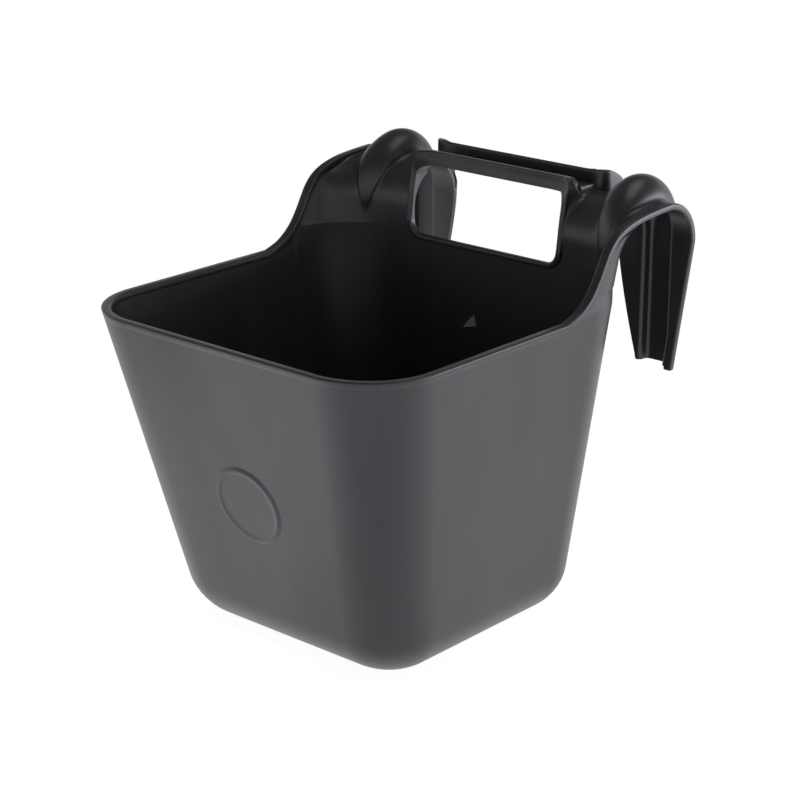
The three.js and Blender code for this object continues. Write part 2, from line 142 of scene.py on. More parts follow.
class TroughGrip(bpy.types.PropertyGroup):
    """Sizes of the carrying grip"""

    half_width: length("Window half width", 0.0679, "Half width of the hand hole")
    bottom: length("Window bottom", 0.2473, "Height of the hand hole's lower edge")
    top: length("Window top", 0.2973, "Height of the hand hole's upper edge")
    corner: length("Window corner", 0.0105, "Radius of the hand hole's lower corners")
    upper_corner: length("Upper corner", 0.007, "Radius of the hand hole's upper corners")
    bar_top: length("Bar top", 0.3082, "Height of the bar's upper edge")
    bar_front: length("Bar front", 0.0105, "Place of the bar's front face")
    bar_depth: length("Bar depth", 0.0038, "Thickness of the bar")
    lip_front: length("Lip front", 0.034, "Place of the rear lip's front face")
    lip_top: length("Lip top", 0.31, "Height of the rear lip")
    lip_thickness: length("Lip thickness", 0.0034, "Thickness of the rear lip")
    lip_half: length("Lip half length", 0.0705, "Half length of the rear lip")
    lip_bend: length("Lip bend", 0.0096, "Radius of the bend at the lip's ends")
    return_radius: length("Return radius", 0.0467, "Radius of the return's crest")
    web: length("Web", 0.0035, "Thickness of the web between bar and lip")
    web_half: length("Web half length", 0.0712, "Half length of the web")


class TroughFinish(bpy.types.PropertyGroup):
    """Colours and texture of the plastic, and the colour of the painted patch of light"""

    plastic: colour("Plastic", (0.035, 0.036, 0.039), "Colour of the black plastic")
    # Pale colour of a patch of light painted on the inside of the back wall
    light_patch_colour: colour("Light patch", (0.5, 0.5, 0.51), "Colour of the patch of light painted on the back wall")
    roughness: bpy.props.FloatProperty(
        name="Roughness", default=0.38, description="Sheen of the plastic", min=0, max=1)
    grain: length("Grain", 0.00045, "Size of the moulded texture")
    grain_depth: length("Grain depth", 0.00001, "Depth of the moulded texture")


def mix(a, b, share):
    return a + (b - a) * share


def clamp(value, low=0.0, high=1.0):
    return min(max(value, low), high)


def smooth(share):
    share = clamp(share)
    return share * share * (3 - 2 * share)


def evenly(count, start=0.0, end=1.0):
    return [mix(start, end, k / count) for k in range(count + 1)]


def cubic(low, high, start, end, share):
    """A value between two others, which leaves and reaches them with given slopes"""
    square, cube = share ** 2, share ** 3
    return (low * (2 * cube - 3 * square + 1) + high * (3 * square - 2 * cube)
            + start * (cube - 2 * square + share) + end * (cube - square))


def spline(knots, steps):
    """Points of a centripetal curve through the knots"""
    knots = np.array(knots, float)
    ends = np.vstack([2 * knots[0] - knots[1], knots, 2 * knots[-1] - knots[-2]])
    points = []
    for a, b, c, d in zip(ends[:-3], ends[1:-2], ends[2:-1], ends[3:]):
        before, here, after = (math.sqrt(math.dist(p, q)) for p, q in ((a, b), (b, c), (c, d)))
        start = ((b - a) / before - (c - a) / (before + here) + (c - b) / here) * here
        end = ((c - b) / here - (d - b) / (here + after) + (d - c) / after) * here
        points += [cubic(b, c, start, end, share) for share in evenly(steps)[:-1]]
    return np.vstack([points, knots[-1]])


def table(shares, along):
    """Smooth value of a table of shares at a share of its length"""
    place = clamp(along) * (len(shares) - 1)
    k = min(int(place), len(shares) - 2)
    low, high = shares[k], shares[k + 1]
    before = shares[max(k - 1, 0)]
    after = shares[min(k + 2, len(shares) - 1)]
    return cubic(low, high, (high - before) / 2, (after - low) / 2, place - k)


class Form:
    """The moulded sheet as surfaces over the tub, the hooks and the legs"""

    def __init__(self):
        scene = bpy.context.scene
        self.tub, self.rim, self.hook = scene.trough_tub, scene.trough_rim, scene.trough_hook
        self.arch = DOOR_GAP / 2
        self.spring = RIM_HEIGHT + self.hook.spring_rise
        self.centre = HALF_WIDTH - self.tub.rim_corner
        self.band_inner = HALF_WIDTH - self.rim.width
        rise = self.spring + self.arch + self.rim.thickness - RIM_HEIGHT
        run = self.rim.run + self.arch
        sweep = spline([(a * run - self.rim.run, b * rise + RIM_HEIGHT) for a, b in SWEEP], 12)
        reach = self.arch + self.rim.thickness
        back = [(self.arch + reach * math.sin(t), self.spring + reach * math.cos(t))
                for t in evenly(24, 0, QUARTER)[1:]]
        self.sweep_count = len(sweep)
        self.line = np.vstack([sweep, back])
        self.along = np.gradient(self.line, axis=0)
        self.along[0], self.along[-1] = (1, 0), (0, -1)
        self.along /= np.linalg.norm(self.along, axis=1)[:, None]
        square = np.column_stack([self.along[:, 1], -self.along[:, 0]])
        self.seat = (self.line + self.rim.thickness * square)[:self.sweep_count]
        self.seat[:, 1] = np.maximum.accumulate(self.seat[:, 1])
        under_sill = 0.0006
        self.sill_step = scene.trough_grip.bottom - under_sill - RIM_HEIGHT
        self.sill_step *= RISE / self.hook.spring_rise
        self.join = self.seat_height(-self.tub.rim_corner)
        self.join_step = RISE * (self.join - RIM_HEIGHT) / self.hook.spring_rise

    def seat_height(self, y):
        return float(np.interp(y, self.seat[:, 0], self.seat[:, 1]))

    def seat_place(self, z):
        return float(np.interp(z, self.seat[:, 1], self.seat[:, 0]))

    def side_at(self, height):
        return HALF_WIDTH - self.tub.side_draft * (1 - min(height / RIM_HEIGHT, 1))

    def outline(self, height, inset):
        """Side, front, back and corner radius of the tub at a height, drawn in by an inset"""
        share = min(height / RIM_HEIGHT, 1)
        return (
            self.side_at(height) - inset,
            mix(self.tub.front_draft, 0, share) - RIM_DEPTH + inset,
            -mix(self.tub.back_draft, 0, share) - inset,
            mix(self.tub.base_corner, self.tub.rim_corner, share) - inset,
        )

    def ring_point(self, kind, share, height, inset):
        """A place on the tub's outline; a hook's place is given by its distance at the rim"""
        side, front, back, radius = self.outline(height, inset)
        flat = side - radius
        if kind == "front":
            return Vector((share * flat, front, height))
        if kind == "side":
            return Vector((side, mix(front + radius, back - radius, share), height))
        if kind == "front_corner":
            turn, y, reach = QUARTER * share, front + radius, -radius
        elif share <= self.centre:
            return Vector((share / self.centre * flat, back, height))
        else:
            turn, y, reach = self.bend_turn(share), back - radius, radius
        return Vector((flat + radius * math.sin(turn), y + reach * math.cos(turn), height))

    def lean_fill(self, height, turn):
        """Extra thickness that rounds the inside where the leaning wall meets the hook"""
        reach = 0.026
        near = max(reach - abs(height - RIM_HEIGHT), 0)
        back, side = self.tub.back_draft / RIM_HEIGHT, self.tub.side_draft / RIM_HEIGHT
        return mix(back, side, math.sin(turn) ** 2) * near * near / (4 * reach)

    def bend_turn(self, x):
        return math.asin(clamp((x - self.centre) / self.tub.rim_corner))

    def bend_place(self, turn):
        return self.centre + self.tub.rim_corner * math.sin(turn)

    def under(self, x, step):
        """The sheet's underside over a hook, from the tub's rim to the leg's foot"""
        bend = 1 - math.cos(self.bend_turn(x))
        if step <= RISE:
            z = mix(RIM_HEIGHT, self.spring, step / RISE)
            place, corner = self.seat_place(z), -self.tub.rim_corner
            softness = 0.022
            soft = softness * (1 - bend) * bend
            place = (place + corner + math.hypot(place - corner, soft)) / 2
            return Vector((x, bend * place, z))
        if step <= SPRING:
            turn = QUARTER * (step - RISE) / ARCH
            z = self.spring + self.arch * math.sin(turn)
            y = self.arch - self.arch * math.cos(turn)
            if step < CROWN:
                y = mix(y, self.seat_place(z), bend)
            return Vector((x, y, z))
        return Vector((x, DOOR_GAP, mix(self.spring, LEG_BOTTOM, (step - SPRING) / LEG)))

    def normal(self, x, step):
        """Direction square to the sheet, towards its upper face"""
        turn_by, move_by, step_by = 0.02, 0.001, 0.08
        if step >= SPRING:
            return Vector((0, 1, 0))
        if x > self.centre:
            turn = self.bend_turn(x)
            low = self.bend_place(turn - turn_by)
            high = self.bend_place(min(turn + turn_by, QUARTER))
        else:
            low, high = x - move_by, x + move_by
        across = self.under(high, step) - self.under(low, step)
        along = self.under(x, step + step_by) - self.under(x, max(step - step_by, 0))
        return across.cross(along).normalized()

    def rib(self, step, inner):
        """Half width, height and squareness of the rib at a step of the hook"""
        along = (step - RIB_START) / (SPRING - RIB_START)
        if along <= 0:
            return 0.0, 0.0, 2.0
        half = table(RIB_WIDTH, along) * self.hook.rib_half
        height = table(RIB_RISE, along) * self.hook.rib_height
        if not inner:
            half = max(half - self.tub.wall, half / 2)
        return half, height, mix(2.0, 5.0, smooth((step - SPRING + 3) / 4))

    def rib_place(self, t, step, inner):
        """Offset and height of the rib's section, with a fillet at each foot"""
        half, height, square = self.rib(step, inner)
        dome, crease, plain_spread = 0.8, 0.0026, 0.008
        if height <= 0:
            return t * mix(plain_spread, crease, smooth(step / RIB_START)), 0.0
        fillet = min(self.hook.rib_fillet, 0.45 * height, 0.6 * half)
        start = math.asin(min((fillet / height) ** (square / 2), 1))
        flank = half * math.cos(start) ** (2 / square)
        if abs(t) > dome:
            turn = QUARTER * (abs(t) - dome) / (1 - dome)
            offset = flank + fillet - fillet * math.cos(turn)
            rise = fillet - fillet * math.sin(turn)
        else:
            turn = mix(QUARTER, start, abs(t) / dome)
            offset = half * max(math.cos(turn), 0) ** (2 / square)
            rise = height * math.sin(turn) ** (2 / square)
        offset = max(offset, crease * abs(t) * (1 - smooth(step - RIB_START)))
        if t > 0 and step > SPRING:
            room = self.outer_edge(step) - MARGIN - self.hook.rib_offset
            offset *= min(room / (flank + fillet), 1)
        return math.copysign(offset, t), rise

    def outer_edge(self, step):
        """Outer edge of the sheet: under the band on the sweep, tucked into its side beyond"""
        tucked = self.band_inner + 2 * MARGIN
        if step > SPRING:
            return tucked - self.hook.outer_taper * (step - SPRING) / LEG
        return mix(HALF_WIDTH, tucked, smooth((step - RISE - ARCH / 2) / 1.5))

    def inner_edge(self, step, inner):
        if step <= SPRING:
            above, below = 0.009, 0.008
            over = (step - self.sill_step) * self.hook.spring_rise / RISE
            fill = 1 - smooth(over / above) if over > 0 else smooth(1 + over / below)
            return mix(HOOK_EDGE, self.hook.leg_edge, smooth(step - CROWN)) - below * fill
        share = (step - SPRING) / LEG
        edge = self.hook.leg_edge + self.hook.inner_taper * share ** 1.4
        foot = self.hook.rib_offset + self.rib_place(-1, step, inner)[0]
        return min(edge, foot - MARGIN)

    def hook_place(self, kind, share, step, inner):
        """Distance from the middle plane and rise of the rib at a column of a hook"""
        if kind == "window":
            return self.inner_edge(step, inner) * (1 - share), 0.0
        across, rise = self.rib_place({"rib": share, "outer": 1, "inner": -1}[kind], step, inner)
        place = self.hook.rib_offset + across
        if kind == "outer":
            turns = self.bend_turn(self.outer_edge(step)), self.bend_turn(place)
            return self.bend_place(mix(*turns, share)), 0.0
        if kind == "inner":
            return mix(place, self.inner_edge(step, inner), share), 0.0
        return place, rise


COLUMNS = [(kind, share) for kind, shares in (
    ("front", evenly(6)), ("front_corner", evenly(24)[1:]),
    ("side", evenly(6, 0, 0.8)[1:] + evenly(16, 0.8)[1:-1]),
    ("outer", evenly(16)), ("rib", evenly(32, 1, -1)[1:]), ("inner", evenly(8)[1:]),
    ("window", evenly(6)[1:]),
) for share in shares]


def sheet_rows(form):
    """Rows of the sheet from the floor up: wall rounds, wall heights, then steps of the hook"""
    sill, join = form.sill_step, form.join_step
    crest_start, least_gap = -0.012, 0.08
    crest = [RISE + ARCH * math.asin((form.seat_height(y) - form.spring) / form.arch) / QUARTER
             for y in evenly(6, crest_start, form.arch)[:-1]]
    steps = sorted(
        evenly(8, sill, join)[1:] + evenly(14, join, RISE)[1:-1] + crest
        + [s for s in evenly(24, RISE, CROWN) if all(abs(s - c) > least_gap for c in crest)]
        + evenly(28, CROWN, SPRING)[1:] + evenly(24, SPRING, FOOT)[1:])
    rows = [("round", s) for s in evenly(12)]
    rows += [("wall", s) for s in evenly(10)[1:]]
    rows += [("step", s) for s in evenly(4, 0, sill)[1:]]
    sill_row = len(rows) - 1
    rows += [("step", s) for s in steps]
    join_row = rows.index(("step", min(steps, key=lambda s: abs(s - join))))
    return rows, sill_row, join_row


def sheet_point(form, column, row, inner):
    """A point of the moulded sheet, on its outer or its inner face"""
    kind, share = column
    row_kind, value = row
    thickness = form.tub.wall if inner else 0.0
    base = form.tub.base_round
    hooked = kind in ("outer", "rib", "inner", "window")
    if hooked:
        step = value if row_kind == "step" else 0.0
        place, rise = form.hook_place(kind, share, step, inner)
        if row_kind == "step" and value > form.join_step + 0.001:
            height = thickness + rise
            if inner and kind == "outer":
                dip = math.sin(math.pi * clamp(share * 1.1)) * smooth((step - RISE - 3) / 4)
                height -= form.hook.valley * dip * (1 - smooth(step - SPRING + 1))
            point = form.under(place, step)
            if inner and step < RISE:
                turn = form.bend_turn(place)
                fill = form.lean_fill(point.z, turn)
                point -= Vector((math.sin(turn), math.cos(turn), 0)) * fill
            return point + form.normal(place, step) * height
        share = place
    if row_kind == "round":
        radius = base - thickness
        turn = QUARTER * value
        return form.ring_point(kind, share, base - radius * math.cos(turn),
                               base - radius * math.sin(turn))
    height = mix(base, RIM_HEIGHT, value)
    if row_kind == "step":
        height = mix(RIM_HEIGHT, form.spring, value / RISE)
    if not hooked:
        rise = (height - base) / (form.join - base)
        top = RIM_HEIGHT - form.rim.thickness
        if kind == "side":
            _, front, back, radius = form.outline(RIM_HEIGHT, 0)
            top = max(form.seat_height(mix(front + radius, back - radius, share)), top)
        height = mix(base, top, rise)
    elif inner:
        thickness += form.lean_fill(height, form.bend_turn(share))
    return form.ring_point(kind, share, height, thickness)


def grid_mesh(across, along):
    """A grid whose vertices carry their column and row as whole numbers"""
    mesh = bmesh.new()
    bmesh.ops.create_grid(mesh, x_segments=across, y_segments=along, size=1)
    columns = mesh.verts.layers.int.new("column")
    rows = mesh.verts.layers.int.new("row")
    for vert in mesh.verts:
        vert[columns] = round((vert.co.x + 1) / 2 * across)
        vert[rows] = round((vert.co.y + 1) / 2 * along)
    return mesh, columns, rows


def thickened(mesh):
    """Doubles an open sheet into a closed one and returns the vertices of its second face"""
    made = bmesh.ops.extrude_face_region(mesh, geom=mesh.faces[:], use_keep_orig=True)
    return [item for item in made["geom"] if isinstance(item, bmesh.types.BMVert)]


def both_faces(mesh):
    """Thickens a sheet; each vertex comes with a word on whether it is of the second face"""
    first = mesh.verts[:]
    second = thickened(mesh)
    return [(vert, False) for vert in first] + [(vert, True) for vert in second]


def opened(mesh, layer, *values):
    """Deletes the faces that lie wholly in the given rows or columns"""
    faces = [face for face in mesh.faces if all(vert[layer] in values for vert in face.verts)]
    bmesh.ops.delete(mesh, geom=faces, context="FACES_ONLY")


def mirrored(mesh, weld=True):
    """Adds the other half of a mesh and, unless told not to, welds both at the middle plane"""
    bmesh.ops.mirror(mesh, geom=mesh.verts[:] + mesh.edges[:] + mesh.faces[:], axis="X",
                     merge_dist=MIDDLE_WELD)
    if weld:
        bmesh.ops.remove_doubles(mesh, verts=mesh.verts[:], dist=MIDDLE_WELD)


def as_data(name, mesh):
    """Mesh data of a bmesh, smooth all over but for its sharp edges"""
    bmesh.ops.recalc_face_normals(mesh, faces=mesh.faces[:])
    for face in mesh.faces:
        face.smooth = True
    data = bpy.data.meshes.new(name)
    mesh.to_mesh(data)
    mesh.free()
    data.set_sharp_from_angle(angle=SHARP)
    return data


def finished(name, mesh, nodes, material=None):
    """Makes the piece of a bmesh, in its place in the frame, standing for its CAD nodes"""
    bmesh.ops.translate(mesh, vec=Vector((0, BACK, 0)), verts=mesh.verts[:])
    data = as_data(name, mesh)
    kept = data.attributes.get("kept_normal")
    if kept:
        data.normals_split_custom_set([item.vector.copy() for item in kept.data])
        data.attributes.remove(data.attributes["kept_normal"])
    data.materials.append(material or plastic_material())
    piece = bpy.data.objects.new(name, data)
    bpy.context.scene.collection.objects.link(piece)
    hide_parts(*nodes)
    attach(piece, "root")


def with_kept_normals(mesh):
    """Mesh data of a bmesh whose corners remember their normals, for cutting it into pieces"""
    data = as_data("whole_sheet", mesh)
    normals = [value for corner in data.corner_normals for value in corner.vector]
    data.attributes.new("kept_normal", "FLOAT_VECTOR", "CORNER")
    data.attributes["kept_normal"].data.foreach_set("vector", normals)
    return data


def cut_out(data, wanted):
    """The faces of a sheet that belong to one piece, closed through the sheet's thickness"""
    part = bmesh.new()
    part.from_mesh(data)
    column_of, row_of, inner_of = (part.verts.layers.int[name]
                                   for name in ("column", "row", "inner"))
    piece_of = part.faces.layers.int["piece"]
    others = [face for face in part.faces if face[piece_of] != wanted]
    bmesh.ops.delete(part, geom=others, context="FACES")

    def key(vert, inner):
        return vert[column_of], vert[row_of], inner, vert.co.x > 0

    known = {key(vert, vert[inner_of]): vert for vert in part.verts}
    cuts = [edge for edge in part.edges
            if edge.is_boundary and not any(vert[inner_of] for vert in edge.verts)]
    for edge in cuts:
        a, b = edge.verts
        part.faces.new((a, b, known[key(b, 1)], known[key(a, 1)]))
    if any(edge.is_boundary for edge in part.edges):
        raise RuntimeError("a piece of the sheet is not closed")
    return part


def both_sides(*names):
    return [f"{side}_{name}" for side in ("right", "left") for name in names]


def node_tree(owner):
    """The emptied shader tree of a material or a world"""
    owner.use_nodes = True
    owner.node_tree.nodes.clear()
    return owner.node_tree


def add_node(tree, kind, *sources, **values):
    """A shader node with its values, in which a socket or another node is linked; a key's
    underscores stand for the spaces in an input's name"""
    node = tree.nodes.new(kind)
    for key, value in [*enumerate(sources), *values.items()]:
        name = key.replace("_", " ") if isinstance(key, str) else key
        if isinstance(value, bpy.types.Node):
            value = value.outputs[0]
        if isinstance(value, bpy.types.NodeSocket):
            tree.links.new(value, node.inputs[name])
        elif name in node.inputs:
            node.inputs[name].default_value = value
        else:
            setattr(node, key, value)
    return node


def tinted(tree, texture, colour, *stops):
    """A colour that a texture shades, with the place and the strength of each stop"""
    ramp = add_node(tree, "ShaderNodeValToRGB", texture)
    for element, (position, strength) in zip(ramp.color_ramp.elements, stops):
        element.position = position
        element.color = (*[c * strength for c in colour], 1)
    return ramp


def plastic_material():
    """Black moulded plastic with a fine grain, a slow sheen and faint flow marks"""
    found = bpy.data.materials.get("Black moulded plastic")
    if found:
        return found
    finish = bpy.context.scene.trough_finish
    material = bpy.data.materials.new("Black moulded plastic")
    tree = node_tree(material)
    place = add_node(tree, "ShaderNodeTexCoord").outputs["Object"]
    flow = add_node(tree, "ShaderNodeMapping", place, Scale=(1, 1, 0.16))

    def noise(source, scale, detail, **values):
        return add_node(tree, "ShaderNodeTexNoise", source, Scale=scale, Detail=detail, **values)

    streaks, patches = noise(flow, 42, 3, Roughness=0.55), noise(flow, 7, 3, Roughness=0.55)
    cloud, grain = noise(place, 11, 2), noise(place, 1 / finish.grain, 2)
    sheen = add_node(tree, "ShaderNodeMapRange", cloud, To_Min=finish.roughness - 0.04,
                     To_Max=finish.roughness + 0.05)
    haze = add_node(tree, "ShaderNodeMapRange", patches, From_Min=0.3, From_Max=0.7,
                    To_Min=0.41, To_Max=0.64)
    bump = add_node(tree, "ShaderNodeBump", Height=grain, Strength=0.35,
                    Distance=finish.grain_depth)
    ripple = add_node(tree, "ShaderNodeBump", Height=cloud, Normal=bump, Strength=0.25,
                      Distance=0.0002)
    shader = add_node(tree, "ShaderNodeBsdfPrincipled", Roughness=sheen, Normal=ripple,
                      Base_Color=tinted(tree, streaks, finish.plastic, (0.3, 0.88), (0.75, 1.14)),
                      Specular_IOR_Level=haze, Specular_Tint=(0.915, 0.895, 1, 1), IOR=1.57)
    add_node(tree, "ShaderNodeOutputMaterial", shader)
    return material


def light_patch_material():
    """A patch of light painted on the plastic: paler than the rest and unevenly dull"""
    colour = bpy.context.scene.trough_finish.light_patch_colour
    material = bpy.data.materials.new("Painted light patch")
    tree = node_tree(material)
    place = add_node(tree, "ShaderNodeTexCoord").outputs["Object"]
    light_patch_mottle = add_node(tree, "ShaderNodeTexNoise", place, Scale=700, Detail=3)
    bump = add_node(tree, "ShaderNodeBump", Height=light_patch_mottle, Strength=0.4, Distance=0.0001)
    shader = add_node(tree, "ShaderNodeBsdfPrincipled", Roughness=0.7, Normal=bump,
                      Base_Color=tinted(tree, light_patch_mottle, colour, (0.3, 0.75), (0.7, 1.15)))
    add_node(tree, "ShaderNodeOutputMaterial", shader)
    return material


def lowest(face, layer):
    return min(vert[layer] for vert in face.verts)


class TROUGH_OT_shell(bpy.types.Operator):
    """Build the moulded sheet of tub, hooks and legs"""

    bl_idname = "trough.shell"
    bl_label = "Moulded shell"

    def execute(self, context):
        form = Form()
        rows, sill_row, join_row = sheet_rows(form)
        mesh, column_of, row_of = grid_mesh(len(COLUMNS) - 1, len(rows) - 1)
        kinds = [kind for kind, _ in COLUMNS]
        first_hook, first_window = kinds.index("outer"), kinds.index("window") - 1

        def left_out(face):
            column, row = lowest(face, column_of), lowest(face, row_of)
            beyond_rim = column < first_hook and row >= join_row
            in_window = column >= first_window and row >= sill_row
            return beyond_rim or in_window

        unused = [face for face in mesh.faces if left_out(face)]
        bmesh.ops.delete(mesh, geom=unused, context="FACES")

        inner_of = mesh.verts.layers.int.new("inner")

        for vert, inner in both_faces(mesh):
            column, row = COLUMNS[vert[column_of]], rows[vert[row_of]]
            vert.co = sheet_point(form, column, row, inner)
            vert[inner_of] = int(inner)
        opened(mesh, row_of, 0)
        opened(mesh, column_of, 0, len(COLUMNS) - 1)
        mirrored(mesh)
        rims = [edge for edge in mesh.edges if edge.is_boundary]
        bmesh.ops.holes_fill(mesh, edges=rims, sides=0)
        hook_row = next(k for k, (kind, step) in enumerate(rows)
                        if kind == "step" and step >= RIB_START)
        leg_row = rows.index(("step", SPRING))
        names = ["tub", *both_sides("inner_arch", "outer_arch", "rib", "leg")]

        def region(face):
            """The number of the piece that a face is part of"""
            if len({vert[inner_of] for vert in face.verts}) == 2:
                edge = next(e for e in face.edges if not any(v[inner_of] for v in e.verts))
                face = next(other for other in edge.link_faces if other != face)
            column, row = lowest(face, column_of), lowest(face, row_of)
            if not first_hook <= column < first_window or row < hook_row:
                return 0
            kind = {"outer": "outer_arch", "rib": "rib", "inner": "inner_arch"}[kinds[column + 1]]
            side = "right" if face.calc_center_median().x > 0 else "left"
            return names.index(f"{side}_{'leg' if row >= leg_row else kind}")

        piece_of = mesh.faces.layers.int.new("piece")
        for face in mesh.faces:
            face[piece_of] = region(face)
        sheet = with_kept_normals(mesh)
        tub_nodes = ["floor_pan", "front_wall", "back_wall",
                     *both_sides("side_wall", "front_corner", "back_corner")]
        for number, name in enumerate(names):
            finished(f"{name}_skin", cut_out(sheet, number), [name] if number else tub_nodes)
        bpy.data.meshes.remove(sheet)
        return {"FINISHED"}


def rounded_section(width, thickness, rounds, segments=4, between=0):
    """Closed outline of insets and depths, whose four corners have their own radii, with more
    points between the second and the third"""
    corners = (
        (0, thickness, 1, -1), (0, 0, 1, 1), (width, 0, -1, 1), (width, thickness, -1, -1),
    )
    points = []
    for k, ((x, y, dx, dy), radius) in enumerate(zip(corners, rounds)):
        centre_x, centre_y = x + dx * radius, y + dy * radius
        for turn in evenly(segments, 0, QUARTER):
            first, second = math.sin(turn), math.cos(turn)
            if k % 2:
                first, second = second, first
            points.append((centre_x - dx * radius * first, centre_y - dy * radius * second))
        if k == 1:
            points += [(x, 0) for x in evenly(between + 1, radius, width - rounds[2])[1:-1]]
    return points


def band_stations(form):
    """Stations of the rim band: each turns an inset and a depth into a point, and tells how
    far its lower outer edge is rounded"""
    rim = form.rim

    def on_ring(kind, share):
        return lambda inset, depth: form.ring_point(kind, share, RIM_HEIGHT - depth, inset)

    _, front, back, radius = form.outline(RIM_HEIGHT, 0)
    run_end = (-rim.run - front - radius) / (back - front - 2 * radius)
    ring = [("front", share) for share in evenly(4)]
    ring += [("front_corner", share) for share in evenly(24)[1:]]
    ring += [("side", share) for share in evenly(6, 0, run_end)[1:-1]]
    stations = [(on_ring(*spot), 0.0) for spot in ring]

    round_start, round_run = 0.014, 0.008
    for k in [*range(0, form.sweep_count, 2), *range(form.sweep_count, len(form.line))]:
        def on_line(inset, depth, spot=form.line[k], way=form.along[k]):
            y, z = spot[0] + depth * way[1], spot[1] - depth * way[0]
            return Vector((form.side_at(z) - inset, y, z))
        y, z = form.line[k]
        round_share = smooth((z - form.spring - round_start) / round_run)
        stations.append((on_line, round_share if y < form.arch else 1.0))
    tip_round, tip_turn, tip_shrink = 0.0014, QUARTER * 0.9, 0.4
    rows = [(share, 0.0) for share in evenly(12)[1:]]
    rows += [(1.0, turn) for turn in evenly(4, 0, tip_turn)[1:]]
    for share, turn in rows:
        def on_leg(inset, depth, share=share, turn=turn):
            shrink = 1 - tip_shrink * (1 - math.cos(turn))
            inset = mix(rim.width / 2, inset, shrink)
            depth = mix(rim.thickness / 2, depth, shrink)
            x = HALF_WIDTH - form.hook.outer_taper * share - inset
            z = mix(form.spring, LEG_BOTTOM - rim.tip_drop + tip_round, share)
            return Vector((x, DOOR_GAP + rim.thickness - depth, z - tip_round * math.sin(turn)))
        stations.append((on_leg, 1.0))
    return stations


class TROUGH_OT_rim(bpy.types.Operator):
    """Build the rim band round the mouth, over the hooks and down the legs"""

    bl_idname = "trough.rim"
    bl_label = "Rim band"

    def execute(self, context):
        form = Form()
        rim = form.rim
        stations = band_stations(form)
        around, lower_rounds, under_round = 20, (0.00002, 0.0012), 0.001
        mesh, column_of, row_of = grid_mesh(around, len(stations) - 1)
        for vert in mesh.verts:
            place, round_share = stations[vert[row_of]]
            rounds = (mix(*lower_rounds, round_share), rim.edge_round, rim.edge_round, under_round)
            section = rounded_section(rim.width, rim.thickness, rounds)
            vert.co = place(*section[vert[column_of] % around])
        last = len(stations) - 1
        bmesh.ops.remove_doubles(mesh, verts=mesh.verts[:], dist=WELD)
        tip = [edge for edge in mesh.edges
               if edge.is_boundary and all(vert[row_of] == last for vert in edge.verts)]
        bmesh.ops.holes_fill(mesh, edges=tip, sides=0)
        mirrored(mesh)
        finished("rim_band", mesh,
                 ["front_rim", *both_sides("rim_corner", "side_rim", "edge_band")])
        return {"FINISHED"}


def grip_stations(form, grip):
    """Half of the hand hole's frame, from the middle of the sill to that of the bar: each
    station's inner and outer place, its front and back, and how far it is part of the bar"""
    outer, sunk = HOOK_EDGE + 0.0005, 0.00015
    low, high, corner = grip.bottom, grip.top, grip.corner
    bead = -form.tub.wall - 0.0012
    sill_low, low_round, high_round = low - 0.004, 0.0135, 0.006
    bar_back = grip.bar_front + grip.bar_depth

    def front_at(z):
        return float(np.interp(z, *zip(*FRAME_FRONT)))

    def back_at(z):
        rise = clamp(z - form.spring, 0, form.arch)
        return min(form.arch - math.sqrt(form.arch ** 2 - rise ** 2), bar_back) - sunk

    inner_x = grip.half_width - corner
    stations = [((x, low), (x, sill_low), bead, -sunk, 0.0)
                for x in evenly(6, 0, inner_x)[:-1]]
    for turn in evenly(10, 0, QUARTER):
        across, up = math.sin(turn), 1 - math.cos(turn)
        inside = inner_x + corner * across, low + corner * up
        outside = outer - low_round + low_round * across, sill_low + low_round * up
        front = mix(bead, front_at(outside[1]), turn / QUARTER)
        stations.append((inside, outside, front, -sunk, 0.0))
    start, corner = low + corner, grip.upper_corner
    inner_x, end = grip.half_width - corner, high - corner
    for share in evenly(14)[1:-1]:
        z = mix(start, end, share)
        stations.append(((grip.half_width, z), (outer, z), front_at(z), back_at(z), 0.0))
    straight, arc = grip.bar_top - high_round - end, high_round * QUARTER
    flat = outer - high_round - inner_x
    ease, ease_from = 0.012, 0.8
    for share in evenly(30):
        turn = QUARTER * share
        inside = inner_x + corner * math.cos(turn), end + corner * math.sin(turn)
        run = share * (straight + arc + flat)
        bend = clamp((run - straight) / high_round, 0, QUARTER)
        outside = (outer - high_round + high_round * math.cos(bend) - max(run - straight - arc, 0),
                   end + min(run, straight) + high_round * math.sin(bend))
        front = mix(front_at(end), grip.bar_front, smooth(ease_from * share))
        stations.append((inside, outside, front, back_at(inside[1]), smooth(share)))
    for x in evenly(8, inner_x, inner_x - ease)[1:] + evenly(4, inner_x - ease, 0)[1:]:
        bend = ease_from + 0.2 * min((inner_x - x) / ease, 1)
        front = mix(front_at(end), grip.bar_front, smooth(bend))
        stations.append(((x, high), (x, grip.bar_top), front, bar_back, 1.0))
    return stations


def fillet_line(grip):
    """Upper edge of the fillet beside the grip: up the jamb, over the bar's end, down to the
    web's end"""
    edge, web_top = HOOK_EDGE + MARGIN, grip.top + grip.web
    jamb = [(edge, y + 0.0006, z) for z, y in FRAME_FRONT[3:-1]]
    top = grip.bar_top - 0.0006
    return spline(jamb + [
        (edge - 0.0012, grip.bar_front + 0.0008, top - 0.0012),
        (edge - 0.0008, grip.bar_front + grip.bar_depth - 0.0006, top - 0.003),
        (edge, 0.0165, web_top + 0.0014), (edge, 0.02, web_top + 0.0002),
        (edge, 0.026, web_top), (edge, 0.031, web_top), (edge, grip.lip_front + 0.002, web_top),
    ], 6)


